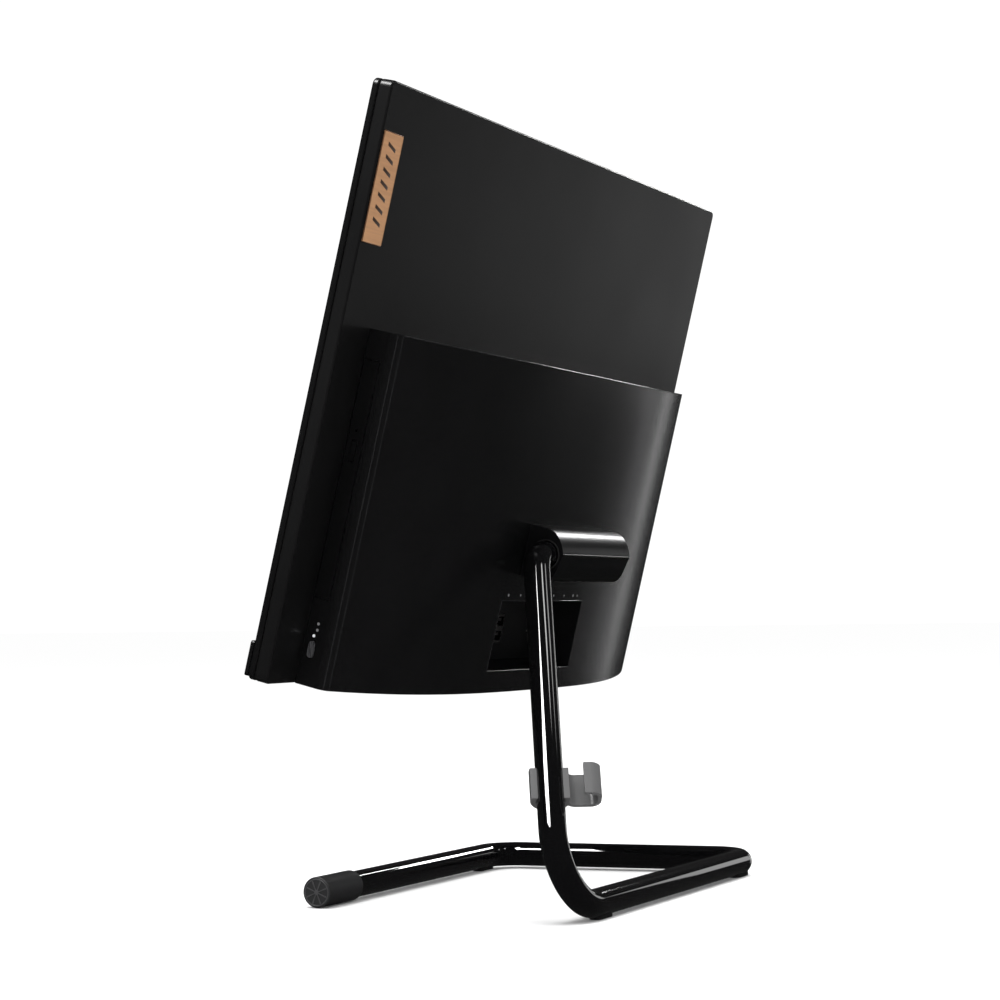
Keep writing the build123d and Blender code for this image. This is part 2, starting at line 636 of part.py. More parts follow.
SIDE_SHELL = 0.3
SIDE_PORT_BACK = 2.0
with BuildPart() as side_usb_ports:
    for u in SIDE_USB_UNITS:
        shell = (about(u, USB_PORT[0]), about(SIDE_PORT_N, USB_PORT[1]))
        shell_x = (SIDE_FACE_X, SIDE_FACE_X + SIDE_PORT_DEPTH + SIDE_PORT_BACK)
        mouth_x = (SIDE_FACE_X - 1, SIDE_FACE_X + SIDE_PORT_DEPTH)
        box(shell_x, *[grown(span, SIDE_SHELL) for span in shell])
        box(mouth_x, *[grown(span, -SIDE_SHELL) for span in shell], Mode.SUBTRACT)
        tongue = (about(u, USB_TONGUE[0]), (SIDE_PORT_N, SIDE_PORT_N + USB_TONGUE[1]))
        box((SIDE_FACE_X + 1, mouth_x[1]), *tongue)

CARD_SHELL_X = (SIDE_FACE_X + 0.4, SIDE_FACE_X + 24.0)
CARD_SLOT_DEPTH = 20.0
CARD_WALL_U = 0.9
CARD_WALL_N = 0.5
with BuildPart() as card_reader:
    box(CARD_SHELL_X, grown(CARD_U, SIDE_SHELL), grown(CARD_N, SIDE_SHELL))
    slot = (grown(CARD_U, SIDE_SHELL - CARD_WALL_U), grown(CARD_N, SIDE_SHELL - CARD_WALL_N))
    box((SIDE_FACE_X - 1, SIDE_FACE_X + CARD_SLOT_DEPTH), *slot, Mode.SUBTRACT)

# ---------------------------------------------------------------- the power button and its lamp
BUTTON_FLANGE = 0.6
BUTTON_FLANGE_T = 1.6
BUTTON_FLANGE_X = (BUTTON_X[0] - BUTTON_FLANGE_T, COVER_HALF_W - COVER_WALL - GAP)
with BuildPart() as power_button:
    pill((BUTTON_FLANGE_X[1], BUTTON_X[1]), grown(BUTTON_U, -BUTTON_PLAY), grown(BUTTON_N, -BUTTON_PLAY))
    pill(BUTTON_FLANGE_X, grown(BUTTON_U, BUTTON_FLANGE), grown(BUTTON_N, BUTTON_FLANGE))

SWITCH_X = (202.0, BUTTON_FLANGE_X[0] - 1.0)
SWITCH_SIZE = (6.0, 3.0)
SWITCH_BOARD_T = 1.6
SWITCH_BOARD_U = (12.0, 32.0)
SWITCH_BOARD_N = (1.2, 9.5)
with BuildPart() as power_switch:
    box(SWITCH_X, about(middle(BUTTON_U), SWITCH_SIZE[0]), about(middle(BUTTON_N), SWITCH_SIZE[1]))
    box((SWITCH_X[0] - SWITCH_BOARD_T, SWITCH_X[0]), SWITCH_BOARD_U, SWITCH_BOARD_N)

with BuildPart() as power_lamp:
    rod((SWITCH_X[0], COVER_HALF_W + 0.1), LED_U, LED_N, LED_R - 0.1)

# ---------------------------------------------------------------- the electronics
BOARD_X = (-110.0, 80.0)
BOARD_U = (22.0, 182.0)
BOARD_N = (PORT_BACK_N - 1.6, PORT_BACK_N)
BOARD_SCREW_R = 1.5
STANDOFFS = [(x, u) for x in (-104.0, -15.0, 74.0) for u in (26.0, 176.0)]
with BuildPart() as main_board:
    box(BOARD_X, BOARD_U, BOARD_N)
    for x, u in STANDOFFS:
        stud(x, u, grown(BOARD_N, 1), BOARD_SCREW_R, Mode.SUBTRACT)

BOARD_HEAD_T = 1.2
with BuildPart() as board_standoffs:
    for x, u in STANDOFFS:
        stud(x, u, (CHASSIS_N[1], BOARD_N[0]), 2 * BOARD_SCREW_R)
        stud(x, u, BOARD_N, BOARD_SCREW_R)
        stud(x, u, (BOARD_N[1], BOARD_N[1] + BOARD_HEAD_T), 2 * BOARD_SCREW_R)

CPU_MIDDLE = (-60.0, 122.0)
CPU_SIZE = 37.5
CPU_N = (BOARD_N[1], BOARD_N[1] + 2.4)
with BuildPart() as processor:
    box(about(CPU_MIDDLE[0], CPU_SIZE), about(CPU_MIDDLE[1], CPU_SIZE), CPU_N)

COLD_SIZE = 44.0
COLD_N = (CPU_N[1], 13.0)
COLD_RIB = (2.0, 3.0)  # thickness and height
COLD_RIB_STEP = 9.0
COLD_RIBS = 5
FINS_X = (12.0, 76.0)
FINS_U = (167.0, 179.0)
FINS_N = (7.4, 18.0)
FIN_T = 0.8
FIN_STEP = 2.4
with BuildPart() as heat_sink:
    cold_u = about(CPU_MIDDLE[1], COLD_SIZE)
    box(about(CPU_MIDDLE[0], COLD_SIZE), cold_u, COLD_N)
    for k in range(COLD_RIBS):
        rib_x = CPU_MIDDLE[0] + (k - COLD_RIBS // 2) * COLD_RIB_STEP
        box(about(rib_x, COLD_RIB[0]), cold_u, (COLD_N[1], COLD_N[1] + COLD_RIB[1]))

with BuildPart() as cooling_fins:
    box(FINS_X, FINS_U, (FINS_N[1] - FIN_T, FINS_N[1]))
    for k in range(int(size(FINS_X) / FIN_STEP)):
        low = FINS_X[0] + k * FIN_STEP
        box((low, low + FIN_T), FINS_U, (FINS_N[0], FINS_N[1] - FIN_T))

PIPE_R = 3.0
PIPE_N = FINS_N[1] + PIPE_R
PIPE_BEND = 14.0
PIPE_LOW_U = 104.0
PIPE_U = middle(FINS_U)
PIPE_SEAT_W = 5.0
PIPE_SEAT_U = (PIPE_LOW_U, 140.0)
with BuildPart() as heat_pipe:
    with BuildLine(face(PIPE_N)) as pipe_path:
        pipe_corner = (CPU_MIDDLE[0], PIPE_U)
        FilletPolyline((CPU_MIDDLE[0], PIPE_LOW_U), pipe_corner, (FINS_X[1], PIPE_U), radius=PIPE_BEND)
    with BuildSketch(Plane(origin=pipe_path.line @ 0, z_dir=pipe_path.line % 0)):
        Circle(PIPE_R)
    sweep(path=pipe_path.line)
    box(about(CPU_MIDDLE[0], PIPE_SEAT_W), PIPE_SEAT_U, (COLD_N[1] + COLD_RIB[1], FINS_N[1] + 1))

FAN_X = (12.0, 76.0)
FAN_U = (98.0, 166.0)
FAN_N = (7.4, 18.4)
FAN_WALL = 1.2
FAN_CENTRE = (44.0, 131.0)
FAN_EYE_R = 17.0
BLADE_R = 27.0
HUB_R = 12.0
FAN_BLADES = 23
FAN_BLADE = (BLADE_R - HUB_R, 1.0)
FAN_BLADE_MIDDLE = (HUB_R + BLADE_R) / 2 - 0.5
FAN_SWEEP = 18.0  # degrees
FAN_PIN_R = 1.5
FAN_PIN_N = (FAN_N[0], FAN_N[1] - 5.0)
FAN_CORNER_R = 3.0
with BuildPart() as fan_housing:
    rounded_box(FAN_X, FAN_U, FAN_N, FAN_CORNER_R)
    inside = (grown(FAN_X, -FAN_WALL), grown(FAN_U, -FAN_WALL), grown(FAN_N, -FAN_WALL))
    rounded_box(*inside, FAN_CORNER_R - FAN_WALL, Mode.SUBTRACT)
    mouth_u = (FAN_U[1] - 2 * FAN_WALL, FAN_U[1] + 1)
    box(grown(FAN_X, -2 * FAN_WALL), mouth_u, grown(FAN_N, -FAN_WALL), Mode.SUBTRACT)
    stud(*FAN_CENTRE, (FAN_N[1] - 2 * FAN_WALL, FAN_N[1] + 1), FAN_EYE_R, Mode.SUBTRACT)
    stud(*FAN_CENTRE, FAN_PIN_N, FAN_PIN_R)

IMPELLER_N = (FAN_N[0] + FAN_WALL + GAP * 2, FAN_N[1] - FAN_WALL - GAP * 2)
IMPELLER_DISC_T = 1.0
HUB_SINK = 0.6
with BuildPart() as fan_impeller:
    stud(*FAN_CENTRE, (IMPELLER_N[0], IMPELLER_N[1] - HUB_SINK), HUB_R)
    stud(*FAN_CENTRE, (IMPELLER_N[0], IMPELLER_N[0] + IMPELLER_DISC_T), FAN_BLADE_MIDDLE + FAN_BLADE[0] / 4)
    with BuildSketch(face(IMPELLER_N[1])):
        with Locations(FAN_CENTRE):
            with PolarLocations(FAN_BLADE_MIDDLE, FAN_BLADES):
                Rectangle(*FAN_BLADE, rotation=FAN_SWEEP)
    extrude(amount=size(IMPELLER_N))
    stud(*FAN_CENTRE, (FAN_PIN_N[0], FAN_PIN_N[1] + GAP), FAN_PIN_R + FIT, Mode.SUBTRACT)

MEMORY_X = (-106.0, -38.4)
MEMORY_U = (60.0, 90.0)
MEMORY_N = (BOARD_N[1] + 2.0, BOARD_N[1] + 3.2)
MEMORY_CHIP = (12.0, 12.0, 1.0)
MEMORY_CHIPS = 4
SOCKET_DEPTH = 4.0
SOCKET_HEIGHT = 4.5
with BuildPart() as memory_module:
    box(MEMORY_X, MEMORY_U, MEMORY_N)
    for k in range(MEMORY_CHIPS):
        chip_x = MEMORY_X[0] + size(MEMORY_X) * (k + 0.5) / MEMORY_CHIPS
        chip_u = middle(MEMORY_U) + 1.0
        chip = (about(chip_x, MEMORY_CHIP[0]), about(chip_u, MEMORY_CHIP[1]))
        box(*chip, (MEMORY_N[1], MEMORY_N[1] + MEMORY_CHIP[2]))
    box(MEMORY_X, (MEMORY_U[0] - SOCKET_DEPTH, MEMORY_U[0]), (BOARD_N[1], BOARD_N[1] + SOCKET_HEIGHT))

RADIO_X = (10.0, 40.0)
RADIO_U = (62.0, 84.0)
RADIO_N = (BOARD_N[1] + 1.5, BOARD_N[1] + 2.3)
RADIO_CAN_T = 1.7
RADIO_CAN_MARGIN = 3.0
RADIO_SOCKET = (5.0, 3.6)  # depth along the board and height
with BuildPart() as wireless_card:
    box(RADIO_X, RADIO_U, RADIO_N)
    can = (grown(RADIO_X, -RADIO_CAN_MARGIN), grown(RADIO_U, -RADIO_CAN_MARGIN))
    box(*can, (RADIO_N[1], RADIO_N[1] + RADIO_CAN_T))
    socket_u = (RADIO_U[1], RADIO_U[1] + RADIO_SOCKET[0])
    box(RADIO_X, socket_u, (BOARD_N[1], BOARD_N[1] + RADIO_SOCKET[1]))

HDD_X = (-188.0, -118.4)
HDD_U = (62.0, 162.2)
HDD_N = (6.6, 13.6)
PLATTER_R = 26.0
PLATTER_RISE = 0.5
with BuildPart() as hard_drive:
    rounded_box(HDD_X, HDD_U, HDD_N, 2)
    stud(middle(HDD_X), HDD_U[1] - PLATTER_R - 10, (HDD_N[1], HDD_N[1] + PLATTER_RISE), PLATTER_R)

BRACKET_WALL = 1.0
BRACKET_PLAY = 0.2
BRACKET_LENGTH = grown(HDD_U, -8)
CRADLE_N = (HDD_N[0] - BRACKET_WALL, HDD_N[0])
CRADLE_POST_R = 3.5
CRADLE_POST_IN = (12.0, 16.0)
with BuildPart() as drive_bracket:
    cradle_x = grown(HDD_X, BRACKET_PLAY + BRACKET_WALL)
    box(cradle_x, BRACKET_LENGTH, CRADLE_N)
    for wall in ((cradle_x[0], cradle_x[0] + BRACKET_WALL), (cradle_x[1] - BRACKET_WALL, cradle_x[1])):
        box(wall, BRACKET_LENGTH, (CRADLE_N[0], HDD_N[1] - 2))
    for x in grown(HDD_X, -CRADLE_POST_IN[0]):
        for u in grown(HDD_U, -CRADLE_POST_IN[1]):
            stud(x, u, (CHASSIS_N[1], CRADLE_N[0]), CRADLE_POST_R)

ANTENNA_X = 160.0
ANTENNA_W = 38.0
ANTENNA_U = (300.0, 307.0)
with BuildPart() as antennas:
    for x in (-ANTENNA_X, ANTENNA_X):
        box(about(x, ANTENNA_W), ANTENNA_U, (-BACK_WALL - 1, -BACK_WALL))

# ---------------------------------------------------------------- the optical drive
CASE_X = (COVER_HALF_W - DRIVE_DEPTH, COVER_HALF_W - COVER_WALL - 1.0)
CASE_T = 0.6
CASE_U = grown(DRIVE_U, -1.0)
CASE_N = grown(DRIVE_N, -0.2)
BEZEL_X = (COVER_HALF_W - 1.5, COVER_HALF_W + 0.6)
with BuildPart() as drive_case:
    box(CASE_X, CASE_U, CASE_N)
    box((CASE_X[0] + CASE_T, CASE_X[1] + 1), grown(CASE_U, -CASE_T), grown(CASE_N, -CASE_T), Mode.SUBTRACT)

RAIL_T = 1.2
RAIL_HEIGHT = 3.4
RAIL_X = (CASE_X[0] + 2.0, COVER_HALF_W - 6.0)
RAIL_U = grown(CASE_U, -CASE_T - GAP)
with BuildPart() as tray_rails:
    for low in (RAIL_U[0], RAIL_U[1] - RAIL_T):
        box(RAIL_X, (low, low + RAIL_T), about(middle(CASE_N), RAIL_HEIGHT))

TRAY_X = (CASE_X[0] + 4.0, BEZEL_X[0])
TRAY_U = grown(RAIL_U, -RAIL_T - GAP)
TRAY_N = (CASE_N[0] + CASE_T + GAP + 1.4, CASE_N[1] - CASE_T - GAP - 0.4)
DISC_MIDDLE = (TRAY_X[1] - 62.0, middle(DRIVE_U))
DISC_R = 60.2
DISC_SINK = 1.6  # how deep the disc lies in the tray
SPINDLE_R = 7.4
SPINDLE_HUB_R = 16.0
SPINDLE_RISE = 1.4
SPINDLE_PIN_R = 2.0
SPINDLE_BRIDGE_W = 8.0
SPINDLE_BRIDGE_T = 0.6
EJECT_U = (122.0, 134.0)
EJECT_N = (3.6, 7.2)
EJECT_PLAY = 0.35
EJECT_DEPTH = 6.0
with BuildPart() as disc_tray:
    box(TRAY_X, TRAY_U, TRAY_N)
    stud(*DISC_MIDDLE, (TRAY_N[1] - DISC_SINK, TRAY_N[1] + 1), DISC_R, Mode.SUBTRACT)
    stud(*DISC_MIDDLE, grown(TRAY_N, 1), SPINDLE_HUB_R + GAP, Mode.SUBTRACT)
    box((TRAY_X[1] - EJECT_DEPTH, TRAY_X[1] + 1), grown(EJECT_U, 1.0), grown(TRAY_N, 1), Mode.SUBTRACT)
    bridge_u = about(DISC_MIDDLE[1], 2 * SPINDLE_HUB_R + 6)
    box(about(DISC_MIDDLE[0], SPINDLE_BRIDGE_W), bridge_u, (TRAY_N[0], TRAY_N[0] + SPINDLE_BRIDGE_T))
    stud(*DISC_MIDDLE, (TRAY_N[0], TRAY_N[1] - SPINDLE_RISE - 0.1), SPINDLE_PIN_R)

with BuildPart() as disc_spindle:
    stud(*DISC_MIDDLE, (TRAY_N[0] + SPINDLE_BRIDGE_T + 0.4, TRAY_N[1] - SPINDLE_RISE), SPINDLE_HUB_R)
    stud(*DISC_MIDDLE, (TRAY_N[1] - SPINDLE_RISE, TRAY_N[1]), SPINDLE_R)
    stud(*DISC_MIDDLE, (TRAY_N[0], TRAY_N[1] - SPINDLE_RISE), SPINDLE_PIN_R + FIT, Mode.SUBTRACT)

PIN_HOLE_U = 139.0
PIN_HOLE_R = 0.7
with BuildPart() as tray_bezel:
    box(BEZEL_X, grown(DRIVE_U, -GAP), grown(DRIVE_N, -GAP))
    box(grown(BEZEL_X, 1), EJECT_U, EJECT_N, Mode.SUBTRACT)
    rod(grown(BEZEL_X, 1), PIN_HOLE_U, middle(EJECT_N), PIN_HOLE_R, Mode.SUBTRACT)

EJECT_FLANGE_X = (BEZEL_X[0] - 1.2, BEZEL_X[0] - 0.2)
with BuildPart() as eject_button:
    box((EJECT_FLANGE_X[1], BEZEL_X[1]), grown(EJECT_U, -EJECT_PLAY), grown(EJECT_N, -EJECT_PLAY))
    box(EJECT_FLANGE_X, grown(EJECT_U, 0.6), grown(EJECT_N, 0.2))

PIECES = {
    "stand_tube": stand_tube,
    "tube_sleeve": tube_sleeve,
    "foot_pads": foot_pads,
    "hinge_axle": hinge_axle,
    "axle_washers": axle_washers,
    "axle_nut": axle_nut,
    "cable_clip": cable_clip,
    "hinge_bracket": hinge_bracket,
    "hinge_screws": hinge_screws,
    "hinge_frame": hinge_frame,
    "hinge_cover": hinge_cover,
    "rear_panel": rear_panel,
    "front_bezel": front_bezel,
    "screen_glass": screen_glass,
    "lcd_module": lcd_module,
    "mid_chassis": mid_chassis,
    "camera_module": camera_module,
    "speaker_bar": speaker_bar,
    "speakers": speakers,
    "badge_plate": badge_plate,
    "lower_rear_cover": lower_rear_cover,
    "port_plate": port_plate,
    "dc_jack": dc_jack,
    "ethernet_port": ethernet_port,
    "rear_usb_ports": rear_usb_ports,
    "hdmi_port": hdmi_port,
    "side_board": side_board,
    "audio_jack": audio_jack,
    "side_usb_ports": side_usb_ports,
    "card_reader": card_reader,
    "power_button": power_button,
    "power_switch": power_switch,
    "power_lamp": power_lamp,
    "main_board": main_board,
    "board_standoffs": board_standoffs,
    "processor": processor,
    "heat_sink": heat_sink,
    "cooling_fins": cooling_fins,
    "heat_pipe": heat_pipe,
    "fan_housing": fan_housing,
    "fan_impeller": fan_impeller,
    "memory_module": memory_module,
    "wireless_card": wireless_card,
    "hard_drive": hard_drive,
    "drive_bracket": drive_bracket,
    "antennas": antennas,
    "drive_case": drive_case,
    "tray_rails": tray_rails,
    "disc_tray": disc_tray,
    "disc_spindle": disc_spindle,
    "tray_bezel": tray_bezel,
    "eject_button": eject_button,
}
for name, piece in PIECES.items():
    piece.part.label = name
    export_step(piece.part, f"parts/{name}.step")
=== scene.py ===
"""The looks of an all-in-one computer on a bent-tube stand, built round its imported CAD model, in metres."""

import json
from math import cos, pi, radians, sin, tan

import bmesh
import bpy
from mathutils import Matrix, Vector


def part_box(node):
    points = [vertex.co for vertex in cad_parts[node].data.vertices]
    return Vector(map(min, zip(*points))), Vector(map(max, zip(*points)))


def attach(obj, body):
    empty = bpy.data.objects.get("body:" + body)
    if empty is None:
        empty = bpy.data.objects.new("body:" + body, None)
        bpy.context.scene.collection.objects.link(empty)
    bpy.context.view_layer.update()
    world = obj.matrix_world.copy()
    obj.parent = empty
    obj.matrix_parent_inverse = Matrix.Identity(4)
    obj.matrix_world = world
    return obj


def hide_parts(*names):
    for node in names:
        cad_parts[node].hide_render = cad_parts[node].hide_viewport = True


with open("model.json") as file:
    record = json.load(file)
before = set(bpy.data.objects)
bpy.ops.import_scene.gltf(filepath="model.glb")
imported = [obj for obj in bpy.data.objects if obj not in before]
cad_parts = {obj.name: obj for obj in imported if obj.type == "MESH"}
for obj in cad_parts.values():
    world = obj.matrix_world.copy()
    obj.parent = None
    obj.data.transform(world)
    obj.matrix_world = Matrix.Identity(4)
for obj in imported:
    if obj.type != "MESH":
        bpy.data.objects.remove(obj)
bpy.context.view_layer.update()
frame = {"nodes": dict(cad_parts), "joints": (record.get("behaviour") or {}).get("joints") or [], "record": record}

# ---------------------------------------------------------------- the panel's own frame, from the joints
MM = 0.001
JOINTS = {joint["name"]: joint for joint in frame["joints"]}
HINGE = Vector(JOINTS["display_tilt"]["pos_m"])
RIGHT = Vector((1, 0, 0))
BACK = Vector(JOINTS["fan_spin"]["axis"]).normalized()  # out of the display's back
RISE = RIGHT.cross(BACK)  # up along the display
# The display's own places (x across, u up, n out of its back) are in millimetres, as are small sizes.
HINGE_U, HINGE_N = 86.0, 56.0
ORIGIN = HINGE - RISE * HINGE_U * MM - BACK * HINGE_N * MM


def at(x, u, n):
    """A place on the display, from millimetres across, up the panel and out of its back."""
    return ORIGIN + RIGHT * x * MM + RISE * u * MM + BACK * n * MM


# ---------------------------------------------------------------- materials
RAMP_PLACES = (0.35, 0.65)  # where a noise texture's middle values start and end
DRIFT_SCALE = 9.0
MOTTLE_SCALE = 30.0
BRUSH_SCALE = 900.0


def scaled(color, share):
    """A colour made darker or lighter."""
    return tuple(channel * share for channel in color)


def material(name, color, roughness, metallic=0.0, coat=0.0, coat_roughness=0.03, ior=1.5, specular=0.5):
    """A Principled material whose constant values sit on the shader's own sockets."""
    mat = bpy.data.materials.new(name)
    mat.use_nodes = True
    shader = mat.node_tree.nodes["Principled BSDF"]
    shader.inputs["Base Color"].default_value = (*color, 1)
    shader.inputs["Roughness"].default_value = roughness
    shader.inputs["Metallic"].default_value = metallic
    shader.inputs["Coat Weight"].default_value = coat
    shader.inputs["Coat Roughness"].default_value = coat_roughness
    shader.inputs["IOR"].default_value = ior
    shader.inputs["Specular IOR Level"].default_value = specular
    return mat, shader


def noise(mat, scale, detail=3.0, stretch=(1, 1, 1)):
    """A noise texture in the object's own space, where one unit is a metre."""
    nodes, links = mat.node_tree.nodes, mat.node_tree.links
    place = nodes.new("ShaderNodeTexCoord")
    mapping = nodes.new("ShaderNodeMapping")
    mapping.inputs["Scale"].default_value = stretch
    texture = nodes.new("ShaderNodeTexNoise")
    texture.inputs["Scale"].default_value = scale
    texture.inputs["Detail"].default_value = detail
    links.new(place.outputs["Object"], mapping.inputs["Vector"])
    links.new(mapping.outputs["Vector"], texture.inputs["Vector"])
    return texture.outputs["Fac"]


def between(mat, factor, low, high, socket):
    """Drive a number or colour socket between two values by a factor."""
    nodes, links = mat.node_tree.nodes, mat.node_tree.links
    ramp = nodes.new("ShaderNodeValToRGB")
    colours = [value if isinstance(value, tuple) else (value,) * 3 for value in (low, high)]
    for element, colour, place in zip(ramp.color_ramp.elements, colours, RAMP_PLACES):
        element.color = (*colour, 1)
        element.position = place
    links.new(factor, ramp.inputs["Fac"])
    links.new(ramp.outputs["Color"], socket)


def bump(mat, shader, factor, strength, depth):
    """Raise the surface by a factor, over a depth in metres."""
    nodes, links = mat.node_tree.nodes, mat.node_tree.links
    node = nodes.new("ShaderNodeBump")
    node.inputs["Strength"].default_value = strength
    node.inputs["Distance"].default_value = depth
    links.new(factor, node.inputs["Height"])
    links.new(node.outputs["Normal"], shader.inputs["Normal"])


def moulded(name, color, roughness, grain=1400.0, rise=0.00004, strength=0.35, **more):
    """Injection-moulded plastic: a fine spark-eroded grain, with colour and gloss that drift a little."""
    mat, shader = material(name, color, roughness, **more)
    drift = noise(mat, DRIFT_SCALE, 2.0)
    between(mat, drift, roughness * 0.94, min(1.0, roughness * 1.06), shader.inputs["Roughness"])
    mottle = noise(mat, MOTTLE_SCALE, 4.0)
    between(mat, mottle, scaled(color, 0.93), scaled(color, 1.08), shader.inputs["Base Color"])
    bump(mat, shader, noise(mat, grain, 2.0), strength, rise)
    return mat


def brushed(name, color, roughness, stretch, metallic=1.0):
    """Brushed or drawn metal: fine lines along one direction."""
    mat, shader = material(name, color, roughness, metallic=metallic)
    lines = noise(mat, BRUSH_SCALE, 3.0, stretch)
    between(mat, lines, roughness * 0.8, roughness * 1.2, shader.inputs["Roughness"])
    between(mat, lines, scaled(color, 0.82), color, shader.inputs["Base Color"])
    bump(mat, shader, lines, strength=0.25, depth=0.00003)
    return mat


ALONG_X = (0.03, 1, 1)  # how much a brushed grain is drawn out along x
DRAWN_X = (0.05, 1, 1)
MATERIALS = {
    "tube_paint": moulded(
        "gloss_paint", (0.002, 0.002, 0.0022), 0.05, grain=260.0, rise=0.000002, strength=0.05, coat=1.0
    ),
    "sleeve_rubber": moulded(
        "sleeve_rubber", (0.016, 0.016, 0.017), 0.5, grain=1500.0, rise=0.00006, strength=0.4
    ),
    "sleeve_rib": moulded("sleeve_rib", (0.05, 0.05, 0.052), 0.4),
    "pad_rubber": moulded("pad_rubber", (0.008, 0.008, 0.008), 0.8),
    "steel": brushed("zinc_steel", (0.55, 0.55, 0.56), 0.32, stretch=(1, 0.05, 1)),
    "clip_plastic": moulded(
        "clip_plastic", (0.085, 0.085, 0.086), 0.45, grain=1300.0, rise=0.00004, strength=0.3
    ),
    "hinge_plastic": moulded(
        "hinge_plastic", (0.003, 0.003, 0.0033), 0.3, grain=900.0, rise=0.000015, strength=0.12, specular=0.25
    ),
    "shell_plastic": moulded(
        "shell_plastic", (0.004, 0.004, 0.0042), 0.34, grain=1500.0, rise=0.00003, strength=0.25, specular=0.4
    ),
    "cover_plastic": moulded(
        "cover_plastic", (0.0035, 0.0035, 0.0037), 0.24,
        grain=1500.0, rise=0.00002, strength=0.15, specular=0.45
    ),
    # the cover plastic made lighter and glossier for the edge beads alone: this lighter colour is painted
    # highlight along the cover's edges and the bay's rim
    "cover_edge_highlight": moulded(
        "cover_edge_highlight", (0.012, 0.012, 0.0125), 0.16, grain=1500.0, rise=0.00001, strength=0.1
    ),
    "bezel_plastic": moulded(
        "bezel_plastic", (0.003, 0.003, 0.0032), 0.3, grain=1500.0, rise=0.00002, strength=0.2, specular=0.4
    ),
    "screen": moulded(
        "screen_glass", (0.0035, 0.0036, 0.0042), 0.2, grain=2200.0, rise=0.00001, strength=0.15, coat=0.3
    ),
    "lcd": brushed("lcd_sheet", (0.6, 0.6, 0.6), 0.4, stretch=DRAWN_X),
    "chassis_steel": brushed("galvanised", (0.55, 0.56, 0.57), 0.4, stretch=(0.3, 1, 1)),
    "badge_copper": brushed("badge_copper", (0.50, 0.265, 0.13), 0.42, stretch=ALONG_X, metallic=0.35),
    "badge_ink": moulded("badge_ink", (0.035, 0.02, 0.014), 0.4),
    "badge_dark": brushed("badge_dark", (0.20, 0.10, 0.05), 0.35, stretch=DRAWN_X, metallic=0.5),
    "port_black": moulded("port_black", (0.006, 0.006, 0.0065), 0.5),
    "port_metal": brushed("nickel", (0.6, 0.59, 0.57), 0.25, stretch=(0.1, 1, 1)),
    "board": moulded("solder_mask", (0.006, 0.045, 0.022), 0.35, grain=500.0, rise=0.00005, strength=0.4),
    "chip": moulded("chip_epoxy", (0.014, 0.014, 0.016), 0.45),
    "aluminium": brushed("aluminium", (0.75, 0.75, 0.76), 0.3, stretch=DRAWN_X),
    "copper": brushed("copper", (0.7, 0.35, 0.2), 0.28, stretch=DRAWN_X),
    "fan_plastic": moulded("fan_plastic", (0.012, 0.012, 0.012), 0.45),
    "button_plastic": brushed("button_metal", (0.10, 0.10, 0.105), 0.3, stretch=(1, 1, 0.1), metallic=0.6),
    "icon_ink": moulded("icon_ink", (0.16, 0.16, 0.165), 0.5),
    "lamp": moulded("lamp_lens", (0.8, 0.82, 0.85), 0.3),
}


def paint(obj, slot):
    """Give an object the material of one of the record's slots."""
    obj.data.materials.clear()
    obj.data.materials.append(MATERIALS[slot])


SLOT_OF = {part["node"]: part["material_slot"] for part in frame["record"]["subparts"]}
for node, obj in frame["nodes"].items():
    paint(obj, SLOT_OF[node])

# ---------------------------------------------------------------- making pieces
def mesh_object(name, bm):
    """Put a bmesh into the scene as an object."""
    mesh = bpy.data.meshes.new(name)
    bmesh.ops.recalc_face_normals(bm, faces=bm.faces)
    bm.to_mesh(mesh)
    bm.free()
    obj = bpy.data.objects.new(name, mesh)
    bpy.context.scene.collection.objects.link(obj)
    return obj


def piece(name, bm, body, slot_name, smooth_degrees=40):
    """Finish a new piece: shade it, paint it and make it ride on its body."""
    obj = mesh_object(name, bm)
    paint(obj, slot_name)
    obj.data.shade_smooth()
    obj.data.set_sharp_from_angle(angle=radians(smooth_degrees))
    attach(obj, body)
    return obj


def ring_faces(bm, rings, closed_rings=True, closed_path=False):
    """Skin a run of rings of vertices with quads."""
    pairs = list(zip(rings, rings[1:]))
    if closed_path:
        pairs.append((rings[-1], rings[0]))
    for low, high in pairs:
        count = len(low)
        for i in range(count if closed_rings else count - 1):
            j = (i + 1) % count
            bm.faces.new((low[i], low[j], high[j], high[i]))


def circle(centre, across, other, radius, sides):
    """Points round a circle that lies across two directions."""
    turn = [2 * pi * k / sides for k in range(sides)]
    return [centre + (across * cos(t) + other * sin(t)) * radius for t in turn]


def swept(bm, points, radius, sides=10, closed=False):
    """Sweep a round section along points, keeping it from twisting."""
    count = len(points)
    rings = []
    across = None
    for i, point in enumerate(points):
        before = points[i - 1] if i > 0 or closed else points[i]
        after = points[(i + 1) % count] if i < count - 1 or closed else points[i]
        along = (after - before).normalized()
        across = along.orthogonal() if across is None else across - along * across.dot(along)
        across.normalize()
        other = along.cross(across)
        rings.append([bm.verts.new(place) for place in circle(point, across, other, radius, sides)])
    ring_faces(bm, rings, closed_path=closed)
    if not closed:
        bm.faces.new(rings[0])
        bm.faces.new(rings[-1])


def bead(name, points, radius_mm, body, slot_name, closed=False):
    """A fine round bead that follows an edge and catches the light along it."""
    bm = bmesh.new()
    swept(bm, points, radius_mm * MM, closed=closed)
    return piece(name, bm, body, slot_name)


def turned(bm, centre, axis, across, profile, sides=48):
    """Turn a profile of distances along an axis and from it, in millimetres."""
    other = axis.cross(across)
    rings = []
    for along, radius in profile:
        middle = centre + axis * along * MM
        rings.append([bm.verts.new(place) for place in circle(middle, across, other, radius * MM, sides)])
    ring_faces(bm, rings)
    bm.faces.new(rings[0])
    bm.faces.new(rings[-1])


def spaced(low, high, count):
    return [low + (high - low) * k / (count - 1) for k in range(count)]


